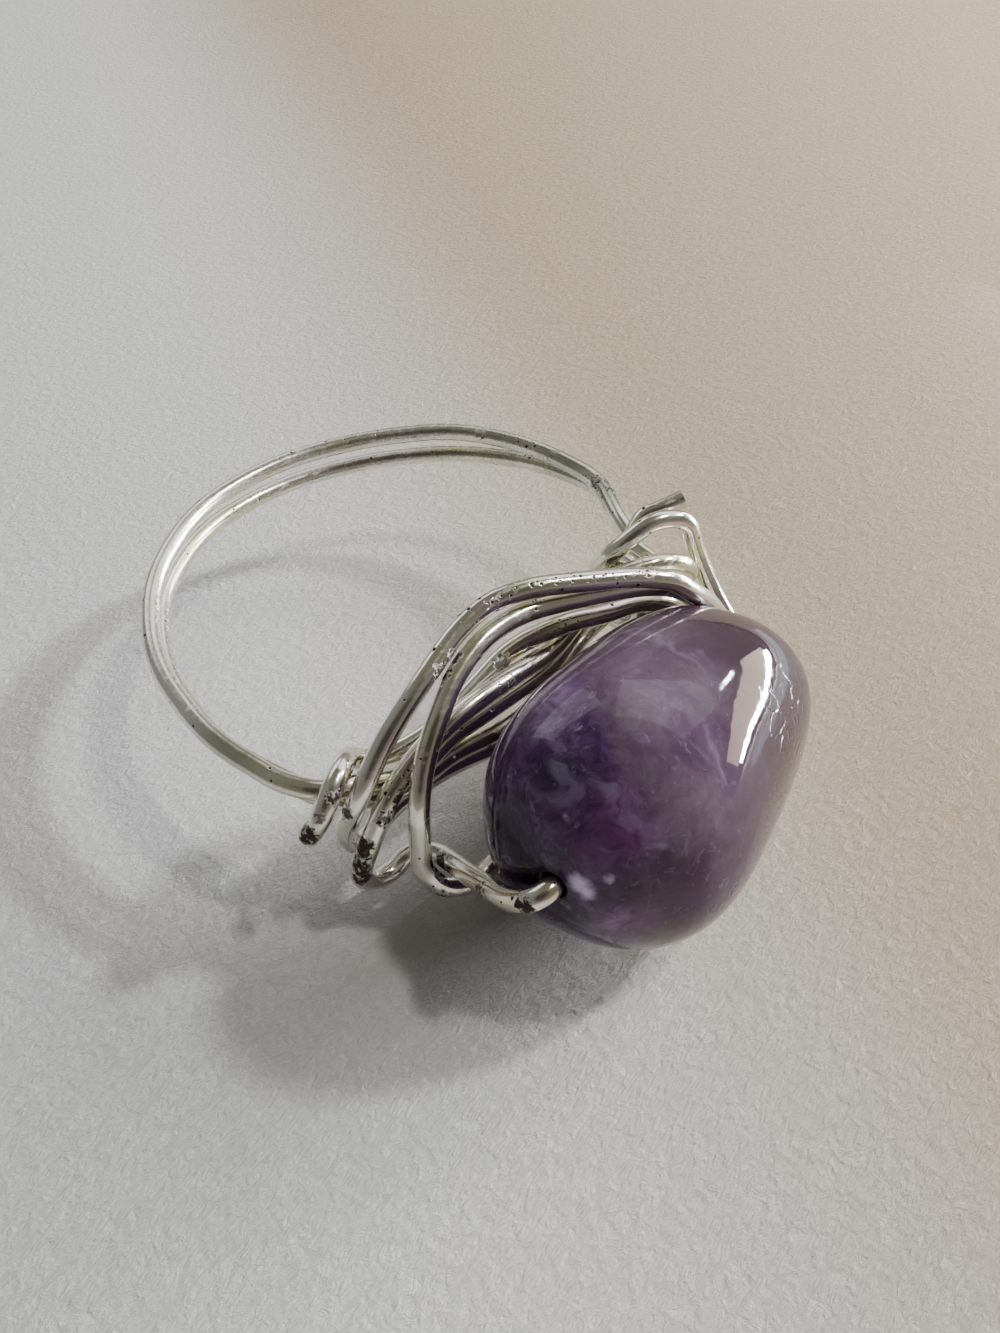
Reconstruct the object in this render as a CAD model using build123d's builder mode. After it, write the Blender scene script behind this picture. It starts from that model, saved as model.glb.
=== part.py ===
import os
from collections import namedtuple
from math import cos, radians, sin, tan

from build123d import *

# A finger ring bent from round craft wire, with one drilled pebble bead.
# Millimetres. The origin is the centre of the finger opening, which runs along Z. The bead sits on the -Y side.

# Wire
wire_diameter = 0.75
wire_gap = 0.08  # air between two strands that lie side by side

# Finger loop, two strands one above the other
band_radius = 10.0  # centre of the opening to the centre of the wire
strand_gap = 0.15  # air between the two strands where they run together

# Pebble bead
bead_length = 13.0
bead_depth = 8.9
bead_height = 9.6
bead_fullness = 2.8  # exponent of the pebble's outline: 2 is an ellipse, more is squarer
bead_hole_diameter = 1.15
bead_end_flat = 0.99  # share of the half length where the worn flat round the hole lies
bead_reach = 7.85  # centre of the opening to the back of the bead
bead_offset = 0.5  # the bead's middle, to the right of the opening's
bead_drop = 0.8  # the bead's middle, below the band
bead_roll = -10.0
bead_tilt = 12.0
bead_turn = 9.0

# Coil of the bead wire round the band's chord strands
coil_turns = 2
turn_gap = 0.13  # air between two turns
coil_gap = 0.2  # air between the coil and the strands inside it

step = wire_diameter + wire_gap
Bend = namedtuple("Bend", "side out rise")
Station = namedtuple("Station", "angle swell rise")
Section = namedtuple("Section", "along size back up")

# The two strands round the finger. Each row is a station on the loop:
# angle from the back of the ring toward the right, share of the band radius, wire steps above the band plane.
upper_loop = (
    Station(112, 0.935, 0.4),
    Station(98, 1.005, 0.4),
    Station(77, 0.995, 0.4),
    Station(55, 0.99, 0.4),
    Station(30, 0.955, 0.3),
    Station(5, 0.98, 0.3),
    Station(-20, 1.015, 0.4),
    Station(-45, 1.01, 0.4),
    Station(-70, 1.0, 0.4),
    Station(-95, 0.995, 0.3),
    Station(-114, 1.01, 0.2),
)
lower_loop = (
    Station(112, 0.98, 0.6),
    Station(98, 1.045, 0.6),
    Station(78, 1.01, 0.4),
    Station(55, 0.975, 0.1),
    Station(30, 0.955, -0.1),
    Station(5, 0.98, -0.1),
    Station(-20, 1.015, 0.1),
    Station(-45, 1.005, 0.3),
    Station(-70, 0.975, 0.4),
    Station(-95, 0.965, 0.4),
    Station(-114, 0.96, 0.4),
)

# Bends of the wires. Each row is one bend:
# side in half bead lengths, out in wire steps behind the bead, rise in wire steps above the band plane.
chord_right_end = (
    Bend(0.91, 2.2, -0.2),
    Bend(1.20, 2.3, -0.1),
    Bend(1.24, 3.6, 0.3),
)
upper_chord = (
    Bend(-1.31, 3.0, 0.2),
    Bend(-1.15, 2.6, -0.2),
    Bend(-0.97, 2.1, -1.0),
    Bend(-0.77, 1.8, -1.2),
    Bend(-0.54, 2.0, -0.9),
    Bend(-0.20, 1.6, -0.6),
    Bend(0.18, 1.3, -0.5),
    Bend(0.52, 2.1, -0.3),
    Bend(0.88, 2.2, -0.2),
)
lower_chord = (
    Bend(-1.28, 3.2, 0.3),
    Bend(-1.14, 2.7, -0.3),
    Bend(-0.97, 2.3, -1.1),
    Bend(-0.77, 2.0, -1.2),
    Bend(-0.57, 1.9, -0.9),
    Bend(-0.20, 1.0, -0.6),
    Bend(0.18, 1.2, -0.5),
    Bend(0.51, 2.1, -0.3),
    Bend(0.88, 2.2, -0.2),
)

# The nest wire, from its cut end hooked over the band at the left.
hook = (
    Bend(-1.48, 2.3, -0.8),
    Bend(-1.42, 1.9, 0.35),
    Bend(-1.30, 2.2, 1.15),
    Bend(-1.16, 2.8, 1.15),
    Bend(-1.08, 3.5, 0.35),
    Bend(-0.98, 3.3, -0.5),
)
first_pass = (
    Bend(-0.82, 2.5, -0.2),
    Bend(-0.62, 2.1, 0.2),
    Bend(-0.35, 2.2, 0.7),
    Bend(-0.03, 2.3, 1.4),
    Bend(0.26, 1.3, 1.95),
    Bend(0.54, 0.6, 1.45),
    Bend(0.75, 0.35, 1.1),
    Bend(0.98, -0.4, 0.3),
    Bend(1.15, -0.1, -1.1),
    Bend(1.14, 0.5, -3.0),
    Bend(0.89, 1.0, -4.0),
)
second_pass = (
    Bend(0.31, 1.1, -3.5),
    Bend(-0.25, 1.3, -3.0),
    Bend(-0.62, 2.3, -3.3),
    Bend(-0.97, 2.5, -3.6),
    Bend(-1.23, 2.1, -3.9),
    Bend(-1.30, 2.1, -2.0),
    Bend(-1.24, 1.4, 0.5),
)
top_pass = (
    Bend(-0.99, 1.8, 2.3),
    Bend(-0.70, 2.2, 3.3),
    Bend(-0.37, 2.8, 4.0),
    Bend(-0.13, 2.8, 4.4),
    Bend(0.08, 2.1, 4.55),
    Bend(0.31, 1.1, 4.3),
    Bend(0.61, -0.4, 4.0),
    Bend(0.79, -1.3, 3.4),
    Bend(0.88, -1.8, 2.6),
    Bend(1.03, -2.1, 1.3),
    Bend(1.17, -2.7, -0.8),
    Bend(1.20, -2.5, -3.6),
)
front_pass = (
    Bend(-1.10, -0.8, -3.4),
    Bend(-1.02, -0.3, 0.2),
    Bend(-0.91, 0.3, 1.3),
    Bend(-0.77, 0.8, 2.3),
    Bend(-0.54, 1.6, 3.1),
    Bend(-0.26, 2.1, 3.6),
    Bend(0.03, 2.0, 3.5),
    Bend(0.34, 1.1, 3.2),
    Bend(0.66, -0.1, 2.95),
    Bend(0.90, -0.8, 2.1),
    Bend(1.14, -1.5, -0.1),
    Bend(1.22, -1.4, -2.7),
)

# The nest wire's low runs. Rise is counted from the run that lies on the ground.
ground_run = (
    Bend(1.08, -1.9, 1.1),
    Bend(0.74, -0.9, 0.0),
    Bend(0.09, -0.6, 0.0),
    Bend(-0.43, -1.4, 0.0),
    Bend(-0.68, -1.5, 0.2),
    Bend(-0.89, -2.0, 1.2),
    Bend(-1.04, -1.5, 1.8),
)
last_pass = (
    Bend(1.08, -0.7, 2.2),
    Bend(0.65, 0.1, 1.3),
    Bend(0.15, 0.3, 1.1),
    Bend(-0.20, 0.4, 1.0),
)

# The bead wire, from its short tail to its cut end at the bead's right side.
tail = (
    Bend(1.52, 2.6, 2.2),
    Bend(1.37, 3.1, 1.9),
    Bend(1.30, 3.5, 1.7),
)
coil_right_end = Bend(1.14, 2.2, -0.8)  # on the coil's own middle line
over_right_side = (
    Bend(0.87, 2.7, 1.9),
    Bend(0.97, 2.3, 2.6),
    Bend(1.13, 2.0, 3.1),
    Bend(1.33, 1.2, 2.8),
    Bend(1.35, 0.5, 1.0),
    Bend(1.38, -0.9, -1.3),
    Bend(1.37, -3.0, -3.0),
)
lead_right = 0.9  # straight wire left past the hole before the bend
lead_left = 0.7
under_left_side = (
    Bend(-1.04, -5.5, -0.4),
    Bend(-0.99, -3.2, -2.2),
    Bend(-0.92, -0.3, -4.3),
    Bend(-1.00, 1.0, -4.9),
    Bend(-1.18, 0.9, -5.3),
    Bend(-1.34, 1.1, -4.3),
    Bend(-1.31, 0.8, -2.5),
)
back_pass = (
    Bend(-1.09, 1.0, 0.0),
    Bend(-0.83, 1.3, 0.8),
    Bend(-0.58, 1.1, 1.6),
    Bend(-0.26, 1.1, 1.55),
    Bend(0.17, 1.3, 0.6),
    Bend(0.45, 1.7, 0.8),
    Bend(0.62, 1.9, 1.8),
    Bend(0.84, 1.1, 2.2),
    Bend(1.04, 0.4, 2.1),
    Bend(1.20, 0.0, 1.2),
    Bend(1.26, 0.4, -0.5),
    Bend(1.29, 1.1, -1.9),
)

# The pebble's sections along its hole, from the left end:
# place in half lengths, size as a share of the full even pebble's, shift back and up in half depths and heights.
pebble_sections = (
    Section(-bead_end_flat, 1.00, 0.09, 0.08),
    Section(-0.96, 1.00, 0.08, 0.07),
    Section(-0.88, 1.00, 0.06, 0.05),
    Section(-0.72, 1.00, 0.02, 0.02),
    Section(-0.45, 0.98, -0.015, -0.015),
    Section(0.0, 0.965, 0.0, 0.0),
    Section(0.45, 0.935, 0.03, 0.02),
    Section(0.72, 0.95, 0.02, 0.02),
    Section(0.88, 0.97, 0.0, 0.0),
    Section(0.96, 0.98, 0.0, 0.0),
    Section(bead_end_flat, 1.00, 0.0, 0.0),
)

bend_share = 0.45  # share of the shorter run that a bend's arc takes
corner_share = 0.75  # corner radius of the pebble's section, as a share of its shorter half


def taper(along):
    """Share of an even pebble's full section at a place along its half length."""
    return (1 - abs(along) ** bead_fullness) ** (1 / bead_fullness)


def across_bead(along, back=0.0, up=0.0):
    """Plane square to the bead's hole, at a place in the bead's own half sizes."""
    place = (along * bead_length / 2, back * bead_depth / 2, up * bead_height / 2)
    return Plane(bead_frame.from_local_coords(place), x_dir=bead_frame.y_dir, z_dir=bead_frame.x_dir)


def bends(rows, level=0.0):
    """Points of a wire's bends, with their rise counted from the given level."""
    side_unit = bead_length / 2
    return [
        Vector(row.side * side_unit, row.out * step - bead_reach, level + row.rise * step)
        for row in rows
    ]


def loop_stations(rows, level=0.0):
    """Points of a strand round the finger."""
    return [
        Vector(
            band_radius * row.swell * sin(radians(row.angle)),
            band_radius * row.swell * cos(radians(row.angle)),
            level + row.rise * step,
        )
        for row in rows
    ]


def coil_corners():
    """Corners of the coil from its right end to its left end, four to a turn, ending back and up."""
    half_depth = wire_diameter + coil_gap
    half_height = half_depth + strand_drop / 2
    corner_pitch = (wire_diameter + turn_gap) / 4
    right_end = bends([coil_right_end])[0]
    corners = ((1, 1), (-1, 1), (-1, -1), (1, -1))
    points = []
    for index in range(4 * coil_turns + 1):
        back, up = corners[index % 4]
        points.append(
            Vector(
                right_end.X - index * corner_pitch,
                right_end.Y + back * half_depth,
                right_end.Z + up * half_height,
            )
        )
    return points


def bend_radii(points):
    """One radius for each bend, as large as its two runs allow."""
    radii = []
    for before, here, after in zip(points, points[1:], points[2:]):
        run_in = here - before
        run_out = after - here
        half_turn = radians(run_in.get_angle(run_out)) / 2
        radii.append(bend_share * min(run_in.length, run_out.length) / tan(half_turn))
    return radii


os.makedirs("parts", exist_ok=True)

# Bead: a loft through rounded sections along the hole, with a flat worn round each end of the hole.
bead_middle = (bead_offset, -bead_reach - bead_depth / 2, -bead_drop)
bead_frame = Plane(Location(bead_middle, (bead_roll, bead_tilt, bead_turn), Extrinsic.XYZ))

with BuildPart() as bead:
    for section in pebble_sections:
        share = taper(section.along) * section.size
        with BuildSketch(across_bead(section.along, section.back, section.up)):
            RectangleRounded(
                bead_depth * share,
                bead_height * share,
                corner_share * min(bead_depth, bead_height) / 2 * share,
            )
    loft()
    with BuildSketch(across_bead(-1.0)):
        Circle(bead_hole_diameter / 2)
    extrude(amount=bead_length, mode=Mode.SUBTRACT)
bead.part.label = "bead"
export_step(bead.part, "parts/bead.step")

# Wires: round rod swept along straight runs joined by arcs. The lowest run lies level with the bead's lowest point.
ground_wire_level = bead.part.bounding_box().min.Z + wire_diameter / 2
strand_drop = wire_diameter + strand_gap
right_exit = bead_frame.from_local_coords((bead_length / 2 + lead_right, 0, 0))
left_exit = bead_frame.from_local_coords((-bead_length / 2 - lead_left, 0, 0))

routes = {
    "upper_band_wire": bends(chord_right_end) + loop_stations(upper_loop) + bends(upper_chord),
    "lower_band_wire": bends(chord_right_end, -strand_drop)
    + loop_stations(lower_loop, -strand_drop)
    + bends(lower_chord, -strand_drop),
    "nest_wire": bends(hook + first_pass + second_pass + top_pass)
    + bends(ground_run, ground_wire_level)
    + bends(front_pass)
    + bends(last_pass, ground_wire_level),
    "bead_wire": bends(tail)
    + coil_corners()
    + bends(over_right_side)
    + [right_exit, left_exit]
    + bends(under_left_side + back_pass),
}

for name, route in routes.items():
    radii = bend_radii(route)
    with BuildPart() as wire:
        with BuildLine() as path:
            FilletPolyline(*route, radius=radii)
        with BuildSketch(Plane(origin=path.line @ 0, z_dir=path.line % 0)):
            Circle(wire_diameter / 2)
        sweep()
    wire.part.label = name
    export_step(wire.part, f"parts/{name}.step")
    print(f"{name}: {path.wire().length:.1f} mm long, tightest bend {min(radii):.2f} mm")
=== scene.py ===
import math
from collections import namedtuple

import bmesh
import bpy
from mathutils import Matrix, Vector, noise


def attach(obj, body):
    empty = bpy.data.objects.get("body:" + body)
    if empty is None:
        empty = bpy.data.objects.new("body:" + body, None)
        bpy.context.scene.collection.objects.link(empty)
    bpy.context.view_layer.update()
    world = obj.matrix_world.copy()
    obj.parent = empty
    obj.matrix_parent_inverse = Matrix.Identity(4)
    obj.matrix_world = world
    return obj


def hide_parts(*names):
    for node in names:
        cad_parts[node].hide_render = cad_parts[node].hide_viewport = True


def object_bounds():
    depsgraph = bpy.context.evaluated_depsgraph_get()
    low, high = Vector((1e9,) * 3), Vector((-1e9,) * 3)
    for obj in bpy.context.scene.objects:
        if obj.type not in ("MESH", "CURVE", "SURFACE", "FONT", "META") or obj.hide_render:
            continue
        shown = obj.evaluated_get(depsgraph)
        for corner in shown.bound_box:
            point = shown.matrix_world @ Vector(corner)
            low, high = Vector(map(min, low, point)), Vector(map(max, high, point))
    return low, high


mm = 0.001
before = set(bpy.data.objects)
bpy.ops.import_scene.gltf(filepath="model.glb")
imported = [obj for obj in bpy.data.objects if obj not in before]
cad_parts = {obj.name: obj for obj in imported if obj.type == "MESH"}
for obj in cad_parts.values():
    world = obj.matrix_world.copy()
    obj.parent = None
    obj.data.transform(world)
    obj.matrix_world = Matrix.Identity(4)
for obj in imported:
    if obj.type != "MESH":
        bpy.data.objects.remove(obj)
cad_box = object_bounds()


# Helpers that join, add and combine nodes
def connect(tree, socket, value):
    if isinstance(value, bpy.types.NodeSocket):
        tree.links.new(value, socket)
    elif hasattr(value, "__len__") and socket.type == "RGBA":
        socket.default_value = (*value, 1.0)
    else:
        socket.default_value = value


def add(tree, kind, inputs, output=0, **settings):
    node = tree.nodes.new(kind)
    for name, value in settings.items():
        setattr(node, name, value)
    for name, value in inputs.items():
        connect(tree, node.inputs[name], value)
    return node.outputs[output]


def calculate(tree, operation, first, second=0.0, clamp=False):
    return add(tree, "ShaderNodeMath", {0: first, 1: second}, operation=operation, use_clamp=clamp)


def add_share(tree, total, part, share, clamp=False):
    return calculate(tree, "ADD", total, calculate(tree, "MULTIPLY", part, share), clamp)


def vector_calculate(tree, operation, first, second):
    output = "Value" if operation in ("DISTANCE", "DOT_PRODUCT") else "Vector"
    return add(tree, "ShaderNodeVectorMath", {0: first, 1: second}, output, operation=operation)


def millimetres(tree):
    place = add(tree, "ShaderNodeTexCoord", {}, "Object")
    return vector_calculate(tree, "MULTIPLY", place, (1 / mm, 1 / mm, 1 / mm))


def stretched(tree, place, share, turn):
    return add(tree, "ShaderNodeMapping", {"Vector": place, "Scale": share, "Rotation": turn})


def grain(tree, place, scale, detail=3.0, distortion=0.0, roughness=0.55, colour=False):
    values = {"Vector": place, "Scale": scale, "Detail": detail, "Distortion": distortion,
              "Roughness": roughness}
    return add(tree, "ShaderNodeTexNoise", values, "Color" if colour else "Fac")


def cells(tree, place, scale, output="Distance", feature="F1"):
    return add(tree, "ShaderNodeTexVoronoi", {"Vector": place, "Scale": scale}, output, feature=feature)


def between(tree, value, low, high, low_out=0.0, high_out=1.0):
    values = {0: value, 1: low, 2: high, 3: low_out, 4: high_out}
    return add(tree, "ShaderNodeMapRange", values, interpolation_type="SMOOTHSTEP", clamp=True)


def blend_colour(tree, share, first, second, mode="MIX"):
    values = {"Fac": share, "Color1": first, "Color2": second}
    return add(tree, "ShaderNodeMixRGB", values, blend_type=mode)


def bump(tree, height, strength, depth):
    return add(tree, "ShaderNodeBump", {"Height": height, "Strength": strength, "Distance": depth})


# A place moved to and fro by noise, up to the reach each way
def wandering(tree, place, scale, reach, detail=3.0):
    drift = grain(tree, place, scale, detail, colour=True)
    shift = vector_calculate(tree, "SUBTRACT", drift, (0.5, 0.5, 0.5))
    return vector_calculate(tree, "ADD", place, vector_calculate(tree, "MULTIPLY", shift, (2 * reach,) * 3))


# How near a place is to any of several spots, which fade out raggedly just past their radius
def near_spots(tree, place, spots, raggedness, scale, core=0.55, faded=1.25):
    ragged = wandering(tree, place, scale, raggedness)
    nearest = 0.0
    for spot in spots:
        away = vector_calculate(tree, "DISTANCE", ragged, (spot.x, spot.y, spot.z))
        covered = between(tree, away, spot.radius * core, spot.radius * faded, spot.strength, 0.0)
        nearest = calculate(tree, "MAXIMUM", nearest, covered)
    return nearest


# Round dots in cells, each kept if its random number is over a limit that falls where dots crowd
def dots(tree, place, scale, channel, core, edge, crowd, rare_limit, crowded_limit):
    dot = between(tree, cells(tree, place, scale), core, edge, 1.0, 0.0)
    number = add(tree, "ShaderNodeSeparateColor", {"Color": cells(tree, place, scale, "Color")}, channel)
    kept = calculate(tree, "GREATER_THAN", number, between(tree, crowd, 0.0, 1.0, rare_limit, crowded_limit))
    return calculate(tree, "MULTIPLY", dot, kept)


def new_material(name):
    material = bpy.data.materials.new(name)
    material.use_nodes = True
    tree = material.node_tree
    tree.nodes.clear()
    shader = tree.nodes.new("ShaderNodeBsdfPrincipled")
    result = tree.nodes.new("ShaderNodeOutputMaterial")
    tree.links.new(shader.outputs["BSDF"], result.inputs["Surface"])
    return material, tree, shader


def place_data(name, data):
    placed = bpy.data.objects.new(name, data)
    bpy.context.scene.collection.objects.link(placed)
    return placed


def place_mesh(name, mesh):
    data = bpy.data.meshes.new(name)
    mesh.to_mesh(data)
    mesh.free()
    return place_data(name, data)


def direction(azimuth, elevation):
    azimuth = math.radians(azimuth)
    elevation = math.radians(elevation)
    return Vector((math.sin(azimuth) * math.cos(elevation), -math.cos(azimuth) * math.cos(elevation),
                   math.sin(elevation)))


Spot = namedtuple("Spot", "x y z radius strength")

# Where the plating is worn off or tarnished brown, in millimetres
brown_spots = (
    Spot(-8.45, -7.13, -1.32, 0.42, 1.0),
    Spot(-8.80, -7.25, -2.10, 0.45, 1.0),
    Spot(-8.83, -7.40, -2.75, 0.40, 1.0),
    Spot(-6.80, -7.34, -0.10, 0.32, 1.0),
    Spot(-7.54, -7.39, -0.38, 0.26, 0.8),
    Spot(-8.45, -6.53, 0.10, 0.28, 0.9),
    Spot(-8.60, -6.30, 1.00, 0.24, 1.0),
    Spot(-9.30, -6.40, 0.55, 0.20, 0.8),
    Spot(-9.80, -6.20, -0.15, 0.42, 1.0),
    Spot(-7.05, -9.04, -3.95, 0.45, 0.9),
    Spot(-6.50, -8.75, -3.05, 0.42, 1.0),
    Spot(-6.92, -11.20, -1.10, 0.28, 0.9),
    Spot(-6.85, -13.15, 0.45, 0.32, 1.0),
    Spot(-3.61, -6.19, 2.90, 0.30, 1.0),
    Spot(-2.95, -6.05, 3.00, 0.30, 1.0),
    Spot(-0.91, -6.26, 1.15, 0.34, 0.9),
    Spot(0.27, -6.48, 1.00, 0.30, 0.7),
    Spot(8.40, 4.40, 0.60, 0.22, 0.7),
    Spot(9.60, 1.04, 0.60, 0.20, 0.5),
    Spot(9.57, -1.50, 0.60, 0.30, 0.8),
)
# Where small black pits crowd together
pitted_spots = (
    Spot(-1.8, -5.4, 3.9, 0.7, 0.6),
    Spot(-0.8, -5.7, 4.1, 0.7, 0.8),
    Spot(0.4, -6.0, 4.2, 0.8, 0.9),
    Spot(1.6, -6.6, 4.1, 0.8, 1.0),
    Spot(3.0, -7.5, 4.0, 0.9, 1.0),
    Spot(4.2, -8.3, 3.7, 0.8, 0.9),
    Spot(0.5, -6.5, 3.2, 0.5, 0.7),
    Spot(-1.6, -7.2, 1.5, 0.8, 0.8),
    Spot(1.5, -7.1, 1.5, 0.7, 0.8),
    Spot(-6.4, -7.2, 0.5, 0.5, 1.0),
    Spot(-7.5, -7.4, -0.4, 0.5, 0.8),
    Spot(-6.7, -9.0, -3.3, 0.5, 0.7),
    Spot(9.2, 2.6, 0.6, 1.2, 0.6),
    Spot(9.4, -2.0, 0.6, 0.9, 0.8),
)
# Where pale gold glints are painted on the wire, as painted highlights
painted_glint_spots = (
    Spot(-7.9, -6.0, 1.0, 0.32, 0.8),
    Spot(-0.4, -6.3, 1.3, 0.50, 0.6),
    Spot(-6.1, -13.5, 0.9, 0.40, 0.5),
    Spot(-6.8, -12.4, 0.1, 0.40, 0.5),
    Spot(-6.9, -10.6, -1.5, 0.50, 0.4),
)
# Where the wire is tinted dark green
green_spots = (
    Spot(9.3, -2.4, 0.4, 1.3, 1.0),
    Spot(9.6, 0.6, 0.4, 1.8, 0.7),
    Spot(9.0, 3.4, 0.4, 1.5, 0.5),
    Spot(-9.6, -1.8, 0.3, 1.8, 0.5),
)

silver = (0.86, 0.84, 0.79)
green_silver = (0.76, 0.77, 0.60)
pink_silver = (0.80, 0.68, 0.70)
dull_silver = (0.50, 0.48, 0.44)
dark_green_tint = (0.36, 0.38, 0.30)
painted_gold_glint = (0.84, 0.70, 0.46)
tarnish_brown = (0.030, 0.013, 0.009)
pit_black = (0.008, 0.006, 0.006)


def worn_silver(name):
    material, tree, shader = new_material(name)
    place = millimetres(tree)
    elsewhere = vector_calculate(tree, "ADD", place, (31, 17, 5))
    green_patches = between(tree, grain(tree, place, 0.42, 2.0), 0.42, 0.62)
    pink_patches = between(tree, grain(tree, elsewhere, 0.55, 2.0), 0.50, 0.68, 0.0, 0.7)
    colour = blend_colour(tree, green_patches, silver, green_silver)
    colour = blend_colour(tree, pink_patches, colour, pink_silver)
    colour = blend_colour(tree, near_spots(tree, place, green_spots, 0.6, 1.2, 0.2), colour, dark_green_tint)

    # Rubbed places, in long faint strokes
    strokes = grain(tree, stretched(tree, place, (0.22, 0.6, 1.0), (0.2, 0.1, 0.3)), 9.0, 4.0, 0.3)
    rubbed = between(tree, grain(tree, place, 1.1, 4.0, 0.6), 0.54, 0.70)
    dull = calculate(tree, "MULTIPLY", rubbed, between(tree, strokes, 0.44, 0.6))
    colour = blend_colour(tree, calculate(tree, "MULTIPLY", dull, 0.22), colour, dull_silver)
    # Painted highlights: pale gold glints laid into the wire's colour
    colour = blend_colour(tree, near_spots(tree, place, painted_glint_spots, 0.3, 2.5, 0.3), colour, painted_gold_glint)

    # Pits: small round dots, thick in the marked places and rare elsewhere
    crowd = near_spots(tree, place, pitted_spots, 0.35, 1.5, 0.3)
    coarse_pits = dots(tree, place, 3.8, "Red", 0.24, 0.34, crowd, 0.97, 0.42)
    fine_pits = dots(tree, place, 6.5, "Green", 0.26, 0.38, crowd, 0.985, 0.52)
    pits = calculate(tree, "MAXIMUM", coarse_pits, fine_pits)

    brown = near_spots(tree, place, brown_spots, 0.40, 5.0, 0.85)
    patchy = between(tree, grain(tree, place, 5.0, 4.0), 0.34, 0.46, 0.3, 1.0)
    brown = calculate(tree, "MULTIPLY", brown, patchy)
    colour = blend_colour(tree, brown, colour, tarnish_brown)
    colour = blend_colour(tree, pits, colour, pit_black)
    spoiled = calculate(tree, "MAXIMUM", brown, pits)

    # Bright at the pebble's side and satin at the band's back, dull where rubbed, rough where spoiled
    toward_back = add(tree, "ShaderNodeSeparateXYZ", {"Vector": place}, "Y")
    roughness = between(tree, strokes, 0.35, 0.65, 0.13, 0.21)
    roughness = calculate(tree, "ADD", roughness, between(tree, toward_back, -6.0, 3.0, 0.0, 0.07))
    roughness = add_share(tree, roughness, dull, 0.12)
    roughness = add_share(tree, roughness, spoiled, 0.6, clamp=True)
    metallic = calculate(tree, "SUBTRACT", 1.0, calculate(tree, "MULTIPLY", spoiled, 0.95))

    crusted = calculate(tree, "MULTIPLY", crowd, grain(tree, place, 14.0, 3.0))
    height = calculate(tree, "SUBTRACT", calculate(tree, "MULTIPLY", strokes, 0.05), spoiled)
    height = add_share(tree, height, grain(tree, place, 0.9, 2.0), 0.7)
    height = add_share(tree, height, crusted, 0.6)
    connect(tree, shader.inputs["Base Color"], colour)
    connect(tree, shader.inputs["Roughness"], roughness)
    connect(tree, shader.inputs["Metallic"], metallic)
    connect(tree, shader.inputs["Normal"], bump(tree, height, 0.45, 0.02 * mm))
    return material


# The pebble in millimetres and degrees: length, depth, height, centre and turn are the solid's
bead_length = 13.0
bead_depth = 8.9
bead_height = 9.6
bead_fullness = 2.62
section_fullness = 2.3
bead_hole_diameter = 0.95
hole_rim = 0.06
first_ring = 1.25  # where the skin starts, as a share of the radius of the hole's rim
rim_steps = 6
longer_right = 0.46
wear_depth = 0.004  # share of the girth
wear_scale = 0.28
wear_shift = Vector((3.1, 0.7, 5.5))
bead_centre = Vector((0.5, -12.3, -0.8))
bead_roll = -10.0
bead_tilt = 12.0
bead_turn = 9.0
bead_turned = (Matrix.Rotation(math.radians(bead_turn), 3, "Z")
               @ Matrix.Rotation(math.radians(bead_tilt), 3, "Y")
               @ Matrix.Rotation(math.radians(bead_roll), 3, "X"))

# How its sections swell and lean along the hole, as factors of one, the reach, its square and its cube
swell = (0.996, -0.127, 0.030, 0.161)
lean_back = (0.014, 0.025, 0.003, -0.133)
lean_up = (-0.003, 0.065, 0.028, -0.105)
lean_end_power = 12  # the lean stays whole until close to the two ends


def along_pebble(reach, shares):
    return shares[0] + reach * (shares[1] + reach * (shares[2] + reach * shares[3]))


def rounded(angle, fullness):
    across = math.cos(angle)
    upward = math.sin(angle)
    return (math.copysign(abs(across) ** (2 / fullness), across),
            math.copysign(abs(upward) ** (2 / fullness), upward))


def length_place(reach):
    return reach * bead_length / 2 + longer_right * (reach + 1) / 2


def bead_point(mesh, local):
    return mesh.verts.new((bead_centre + bead_turned @ local) * mm)


def section_ring(mesh, reach, girth, count):
    leaning = 1 - abs(reach) ** lean_end_power
    half_depth = girth * along_pebble(reach, swell) * bead_depth / 2
    half_height = girth * along_pebble(reach, swell) * bead_height / 2
    middle_back = leaning * along_pebble(reach, lean_back) * bead_depth / 2
    middle_up = leaning * along_pebble(reach, lean_up) * bead_height / 2
    points = []
    for number in range(count):
        across, upward = rounded(2 * math.pi * number / count, section_fullness)
        back = half_depth * across
        up = half_height * upward
        local = Vector((length_place(reach), middle_back + back, middle_up + up))
        worn = noise.noise(local * wear_scale + wear_shift)
        points.append(bead_point(mesh, local - Vector((0, back, up)) * wear_depth * (1 + worn)))
    return points


def round_ring(mesh, along, radius, count):
    points = []
    for number in range(count):
        angle = 2 * math.pi * number / count
        points.append(bead_point(mesh, Vector((along, radius * math.cos(angle), radius * math.sin(angle)))))
    return points


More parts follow.
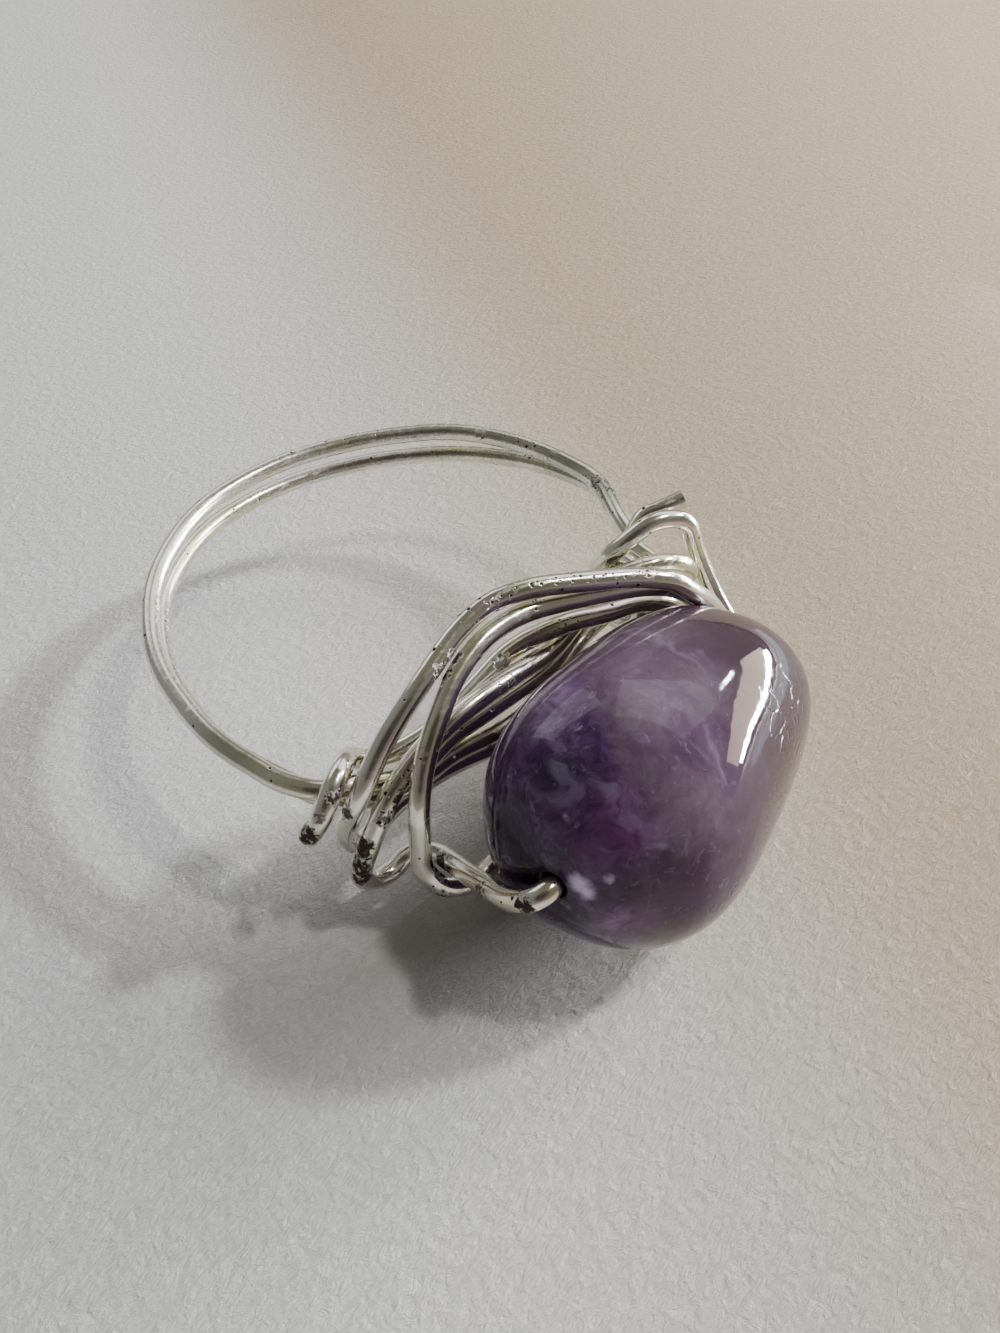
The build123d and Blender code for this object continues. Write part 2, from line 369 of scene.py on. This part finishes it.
# The skin from left to right, then the rounded rim at the right, the hole's wall and the rim at the left
def make_bead(name, around=180, lengthwise=180):
    mesh = bmesh.new()
    hole = bead_hole_diameter / 2
    first = math.asin(((hole + hole_rim) * first_ring / (bead_depth / 2)) ** (bead_fullness / 2))
    rings = []
    for number in range(lengthwise + 1):
        reach, girth = rounded(first + (math.pi - 2 * first) * number / lengthwise, bead_fullness)
        rings.append(section_ring(mesh, -reach, girth, around))
    end_reach = rounded(first, bead_fullness)[0]
    left_end = length_place(-end_reach)
    right_end = length_place(end_reach)
    rim = []
    for number in range(rim_steps + 1):
        angle = math.pi / 2 * number / rim_steps
        rim.append((hole_rim * (1 - math.cos(angle)), hole + hole_rim * (1 - math.sin(angle))))
    right_rim = [round_ring(mesh, right_end - inward, radius, around) for inward, radius in rim]
    left_rim = [round_ring(mesh, left_end + inward, radius, around) for inward, radius in reversed(rim)]
    order = rings + right_rim + left_rim
    for here, there in zip(order, order[1:] + order[:1]):
        for number in range(around):
            after = (number + 1) % around
            mesh.faces.new((here[number], there[number], there[after], here[after]))
    bmesh.ops.recalc_face_normals(mesh, faces=mesh.faces)
    bead = place_mesh(name, mesh)
    for face in bead.data.polygons:
        face.use_smooth = True
    return bead


near_black = (0.013, 0.004, 0.018)
deep_violet = (0.062, 0.026, 0.084)
hazy_violet = (0.115, 0.068, 0.145)
pale_violet = (0.165, 0.105, 0.195)
magenta_violet = (0.115, 0.034, 0.118)
pink_violet = (0.230, 0.115, 0.250)
smoky = (0.100, 0.062, 0.100)
smoky_light = (0.132, 0.094, 0.127)
plum = (0.058, 0.022, 0.062)
veil_lilac = (0.36, 0.29, 0.46)
clear_edge = (0.036, 0.021, 0.027)
lavender = (0.80, 0.66, 1.0)
rosy_fleck = (0.62, 0.42, 0.56)
crack_dark = (0.025, 0.014, 0.030)

# The plane between the pebble's dark left end and its smoky right part
dark_side = (0.85, -0.53, 0.0)
dark_side_place = 4.31

near_black_zones = (
    Spot(-4.3, -11.9, 3.9, 1.2, 1.0),
    Spot(-5.9, -11.4, 1.0, 1.5, 1.0),
    Spot(-5.8, -12.4, 0.4, 1.6, 1.0),
    Spot(-5.6, -13.9, -0.4, 1.2, 0.9),
    Spot(-4.0, -12.9, 4.1, 0.9, 0.7),
)
hazy_zones = (
    Spot(-5.2, -11.2, 2.8, 1.0, 0.8),
    Spot(-5.2, -12.4, 2.7, 1.0, 0.9),
    Spot(-3.3, -11.7, 4.1, 1.1, 0.8),
    Spot(-4.6, -13.4, 3.3, 0.6, 0.5),
)
pale_zones = (
    Spot(-2.4, -9.9, 3.5, 1.5, 1.0),
    Spot(-3.3, -10.5, 3.8, 1.0, 0.9),
    Spot(-5.0, -14.4, 2.4, 0.7, 0.6),
)
magenta_zones = (
    Spot(-4.2, -13.8, 3.7, 1.3, 1.0),
    Spot(-4.3, -14.7, 3.1, 1.2, 1.0),
    Spot(-5.0, -14.1, 2.3, 1.0, 0.9),
)
pink_zones = (
    Spot(-5.1, -15.3, 0.0, 0.8, 1.0),
    Spot(-4.7, -15.8, 0.1, 0.9, 0.6),
    Spot(-3.4, -15.5, 3.2, 0.6, 0.5),
)
plum_zones = (
    Spot(-4.6, -15.2, 1.7, 1.2, 1.0),
    Spot(-3.9, -15.8, 2.0, 1.1, 0.9),
    Spot(-3.0, -16.3, 1.6, 1.4, 0.9),
    Spot(-3.0, -16.8, 0.2, 1.5, 0.8),
    Spot(-1.4, -16.9, 0.6, 1.3, 0.6),
    Spot(-0.5, -13.9, 4.2, 0.9, 0.7),
    Spot(0.3, -14.6, 3.9, 0.8, 0.7),
    Spot(-1.4, -14.4, 4.2, 0.8, 0.5),
)
lavender_spots = (
    Spot(-5.45, -14.05, 1.20, 0.40, 1.0),
    Spot(-5.35, -14.28, 1.00, 0.34, 1.0),
    Spot(-4.98, -14.75, 1.70, 0.20, 0.6),
    Spot(-5.01, -12.84, 3.01, 0.20, 0.45),
)
fleck_spots = (
    Spot(-4.07, -15.02, 3.06, 0.13, 0.8),
    Spot(-2.72, -16.34, 2.21, 0.08, 0.8),
    Spot(-3.09, -16.52, 1.13, 0.09, 0.7),
    Spot(-1.42, -10.58, 3.85, 0.10, 0.6),
    Spot(-3.92, -11.51, 3.95, 0.10, 0.5),
    Spot(2.99, -14.82, 2.69, 0.10, 0.8),
    Spot(3.50, -15.15, 2.00, 0.08, 0.8),
    Spot(-3.36, -15.56, 3.12, 0.22, 0.4),
)
cracked_zones = (
    Spot(3.4, -15.2, 2.0, 1.3, 1.0),
    Spot(4.7, -14.7, 1.4, 1.2, 1.0),
    Spot(4.2, -15.3, 0.5, 1.7, 1.0),
    Spot(3.4, -15.3, 1.6, 1.0, 0.8),
    Spot(-1.5, -16.9, -1.0, 1.2, 0.7),
)


def cloudy_amethyst(name):
    material, tree, shader = new_material(name)
    place = millimetres(tree)
    bent = wandering(tree, place, 0.42, 1.0)
    clouds = grain(tree, bent, 0.55, 5.0, 0.5)
    streaks = grain(tree, stretched(tree, bent, (1.0, 0.35, 0.7), (0.5, 0.4, 0.9)), 0.9, 6.0, 0.7)

    # The smoky right part, and the dark left end beyond a soft uneven border
    colour = blend_colour(tree, between(tree, clouds, 0.38, 0.64), smoky, smoky_light)
    side = vector_calculate(tree, "DOT_PRODUCT", wandering(tree, place, 0.8, 0.7, 5.0), dark_side)
    side = calculate(tree, "SUBTRACT", side, dark_side_place)
    dark_end = between(tree, side, -0.40, 0.32, 1.0, 0.0)
    colour = blend_colour(tree, dark_end, colour, deep_violet)
    colour = blend_colour(tree, near_spots(tree, place, plum_zones, 0.5, 1.0, 0.1), colour, plum)
    colour = blend_colour(tree, near_spots(tree, place, pale_zones, 0.6, 1.0, 0.0), colour, pale_violet)
    colour = blend_colour(tree, near_spots(tree, place, magenta_zones, 0.5, 1.1, 0.0), colour, magenta_violet)
    colour = blend_colour(tree, near_spots(tree, place, near_black_zones, 0.5, 1.2, 0.1), colour, near_black)
    haze = calculate(tree, "MULTIPLY", near_spots(tree, place, hazy_zones, 0.5, 1.2, 0.0),
                     between(tree, streaks, 0.42, 0.60))
    colour = blend_colour(tree, haze, colour, hazy_violet)
    colour = blend_colour(tree, near_spots(tree, place, pink_zones, 0.4, 1.6, 0.0), colour, pink_violet)

    # Mottling, pale veils and small flecks inside the stone
    darkest = between(tree, side, -1.0, 1.0, 0.60, 0.86)
    lightest = between(tree, side, -1.0, 1.0, 1.45, 1.12)
    mottled = between(tree, grain(tree, bent, 1.5, 8.0, 0.8, 0.68), 0.34, 0.66, darkest, lightest)
    colour = blend_colour(tree, 1.0, colour, mottled, "MULTIPLY")
    veil = between(tree, streaks, 0.55, 0.78, 0.0, 0.42)
    wisps = between(tree, grain(tree, bent, 2.2, 7.0, 1.2, 0.66), 0.56, 0.78, 0.0, 0.50)
    colour = blend_colour(tree, calculate(tree, "MAXIMUM", veil, wisps), colour, veil_lilac)
    colour = blend_colour(tree, near_spots(tree, place, fleck_spots, 0.06, 6.0, 0.2), colour, rosy_fleck)
    colour = blend_colour(tree, near_spots(tree, place, lavender_spots, 0.12, 4.0, 0.2), colour, lavender)

    # The right edge is clearer, so less light comes back from it
    clear = between(tree, side, 1.2, 6.0)
    colour = blend_colour(tree, calculate(tree, "MULTIPLY", clear, 0.9), colour, clear_edge)

    # Fine dark cracks
    slanted = stretched(tree, bent, (0.8, 0.8, 1.5), (0.3, 0.2, 0.5))
    from_edge = cells(tree, slanted, 0.95, "Distance", "DISTANCE_TO_EDGE")
    crack = between(tree, from_edge, 0.0, 0.045, 1.0, 0.0)
    crack = calculate(tree, "MULTIPLY", crack, near_spots(tree, place, cracked_zones, 0.6, 1.2))
    crack = calculate(tree, "MULTIPLY", crack, between(tree, grain(tree, place, 1.3), 0.44, 0.56))
    colour = blend_colour(tree, crack, colour, crack_dark)

    connect(tree, shader.inputs["Base Color"], colour)
    connect(tree, shader.inputs["Roughness"], between(tree, clouds, 0.35, 0.7, 0.035, 0.06))
    connect(tree, shader.inputs["Transmission Weight"], between(tree, side, 0.5, 7.0, 0.0, 0.24))
    groove = calculate(tree, "MULTIPLY", crack, 1.5)
    height = calculate(tree, "SUBTRACT", grain(tree, place, 0.7, 2.0), groove)
    connect(tree, shader.inputs["Normal"], bump(tree, height, 0.3, 0.04 * mm))
    shader.inputs["IOR"].default_value = 1.544
    shader.inputs["Specular IOR Level"].default_value = 0.25
    shader.inputs["Subsurface Weight"].default_value = 0.4
    shader.inputs["Subsurface Radius"].default_value = (1.0, 0.7, 1.2)
    shader.inputs["Subsurface Scale"].default_value = 0.4 * mm
    return material


grey_paper = (0.485, 0.485, 0.485)
pale_grey_paper = (0.525, 0.52, 0.51)
painted_warm_light = (0.290, 0.220, 0.132)
paper_shade = (0.40, 0.38, 0.355)
paper_fibre = (0.74, 0.73, 0.71)


def pale_paper(name):
    material, tree, shader = new_material(name)
    place = millimetres(tree)
    broad = grain(tree, place, 0.012, 3.0)
    fine = grain(tree, place, 2.2, 6.0, 0.4, 0.6)
    fibres = grain(tree, stretched(tree, place, (0.4, 1.5, 1.0), (0, 0, 0.6)), 2.4, 6.0, 2.6, 0.65)
    colour = blend_colour(tree, between(tree, broad, 0.35, 0.65), grey_paper, pale_grey_paper)
    # Painted warm light: the paper is painted warmer toward azimuth 66 degrees, standing in for warm light
    # falling from that side
    painted_warm_light_reach = vector_calculate(tree, "DOT_PRODUCT", place, direction(66, 0))
    colour = blend_colour(tree, between(tree, painted_warm_light_reach, -8.0, 20.0), colour, painted_warm_light)
    colour = blend_colour(tree, between(tree, fine, 0.35, 0.7, 0.0, 0.16), colour, paper_shade)
    colour = blend_colour(tree, between(tree, fibres, 0.56, 0.72, 0.0, 0.22), colour, paper_fibre)
    connect(tree, shader.inputs["Base Color"], colour)
    shader.inputs["Roughness"].default_value = 0.85
    height = add_share(tree, fine, fibres, 0.8)
    connect(tree, shader.inputs["Normal"], bump(tree, height, 0.8, 0.16 * mm))
    return material


def make_floor(name, squares=24, half_width=2.2):
    mesh = bmesh.new()
    bmesh.ops.create_grid(mesh, x_segments=squares, y_segments=squares, size=half_width)
    floor = place_mesh(name, mesh)
    floor.location = (0, 0, cad_box[0][2])
    floor.data.materials.append(pale_paper("pale_paper"))
    return floor


# Lamps, in degrees, millimetres and watts: the wires and the floor have their own keys, and so has the pebble
Lamp = namedtuple("Lamp", "name azimuth elevation distance width height power colour mirrored lights")
lamps = (
    Lamp("high_key", 57, 60, 300, 20, 20, 0.38, (1.0, 0.96, 0.92), True, "wire"),
    Lamp("low_key", 66, 38, 300, 21, 21, 0.90, (0.90, 0.95, 1.0), True, "wire"),
    Lamp("far_key", 82, 32, 300, 60, 50, 0.36, (1.0, 0.97, 0.93), False, "wire"),
    Lamp("high_key_on_bead", 56, 60, 300, 60, 60, 0.46, (0.97, 0.97, 1.0), False, "bead"),
    Lamp("low_key_on_bead", 64, 41, 300, 60, 60, 0.36, (0.97, 0.97, 1.0), False, "bead"),
    Lamp("soft_wall", 108, 40, 300, 260, 150, 0.16, (0.95, 0.97, 1.0), True, ""),
    Lamp("back_wall", 168, 30, 300, 200, 130, 0.11, (0.95, 0.97, 1.0), True, ""),
    Lamp("window", 72, 11, 300, 225, 62, 0.40, (1.0, 0.82, 0.65), True, ""),
    Lamp("window_gap", 72, 3.4, 290, 190, 16, 3.00, (0.86, 0.93, 1.0), True, ""),
    Lamp("small_pane", 90.5, 20.3, 290, 13, 9, 0.070, (0.94, 0.97, 1.0), True, ""),
    Lamp("low_glow", 72, -4.1, 45, 40, 4.6, 0.0010, (0.60, 0.70, 1.0), True, ""),
)
lit_place = Vector((0, -6, 0)) * mm


def make_lamps(lit_groups):
    for lamp in lamps:
        light = bpy.data.lights.new(lamp.name, "AREA")
        light.shape = "RECTANGLE"
        light.size = lamp.width * mm
        light.size_y = lamp.height * mm
        light.energy = lamp.power
        light.color = lamp.colour
        holder = place_data(lamp.name, light)
        outward = direction(lamp.azimuth, lamp.elevation)
        holder.location = lit_place + outward * lamp.distance * mm
        holder.rotation_euler = outward.to_track_quat("Z", "Y").to_euler()
        holder.visible_camera = False
        holder.visible_glossy = lamp.mirrored
        holder.visible_transmission = lamp.mirrored
        if lamp.lights:
            holder.light_linking.receiver_collection = lit_groups[lamp.lights]


low_room = (0.34, 0.27, 0.26)
high_room = (0.28, 0.275, 0.20)
level_band = (0.62, 0.58, 0.55)
window_wall = (0.55, 0.52, 0.48)
cool_wall = (0.42, 0.45, 0.46)
viewer_shade = (0.05, 0.04, 0.05)
room_strength = 0.60


def make_world():
    world = bpy.data.worlds.new("room")
    world.use_nodes = True
    tree = world.node_tree
    tree.nodes.clear()
    heading = add(tree, "ShaderNodeTexCoord", {}, "Generated")
    upward = add(tree, "ShaderNodeSeparateXYZ", {"Vector": heading}, "Z")
    colour = blend_colour(tree, between(tree, upward, 0.0, 0.9), low_room, high_room)
    level = between(tree, calculate(tree, "ABSOLUTE", upward), 0.02, 0.32, 0.6, 0.0)
    colour = blend_colour(tree, level, colour, level_band)
    to_window = vector_calculate(tree, "DOT_PRODUCT", heading, direction(100, 12))
    colour = blend_colour(tree, between(tree, to_window, 0.55, 1.0), colour, window_wall)
    to_cool_wall = vector_calculate(tree, "DOT_PRODUCT", heading, direction(-150, 25))
    colour = blend_colour(tree, between(tree, to_cool_wall, 0.6, 1.0, 0.0, 0.6), colour, cool_wall)
    to_viewer = vector_calculate(tree, "DOT_PRODUCT", heading, direction(-44, 50))
    colour = blend_colour(tree, between(tree, to_viewer, 0.80, 0.96, 0.0, 0.8), colour, viewer_shade)
    background = add(tree, "ShaderNodeBackground", {"Color": colour, "Strength": room_strength})
    result = tree.nodes.new("ShaderNodeOutputWorld")
    tree.links.new(background, result.inputs["Surface"])
    bpy.context.scene.world = world


# The camera, in millimetres and degrees
camera_place = Vector((-17.105, -22.734, 27.976))
camera_aim = Vector((-0.383, -5.616, 0.0))
camera_roll = -0.88
focal_length = 27
sensor_height = 36


def make_camera():
    data = bpy.data.cameras.new("camera")
    camera = place_data("camera", data)
    camera.location = camera_place * mm
    looking = (camera_aim * mm - camera.location).to_track_quat("-Z", "Y").to_matrix()
    camera.rotation_euler = (looking @ Matrix.Rotation(math.radians(camera_roll), 3, "Z")).to_euler()
    data.lens = focal_length
    data.sensor_fit = "VERTICAL"
    data.sensor_height = sensor_height
    data.clip_start = 1 * mm
    data.clip_end = 10
    bpy.context.scene.camera = camera


def lit_group(name, members):
    group = bpy.data.collections.new(name)
    for member in members:
        group.objects.link(member)
    return group


make_camera()
make_world()
floor = make_floor("paper_floor")

wire_metal = worn_silver("worn_silver")
wires = [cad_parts[name] for name in ("upper_band_wire", "lower_band_wire", "nest_wire", "bead_wire")]
for wire in wires:
    for slot in wire.material_slots:
        slot.material = wire_metal

bead = make_bead("amethyst_bead")
bead.data.materials.append(cloudy_amethyst("cloudy_amethyst"))
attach(bead, "root")
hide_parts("bead")
make_lamps({"wire": lit_group("lit_wire", wires + [floor]), "bead": lit_group("lit_bead", [bead])})
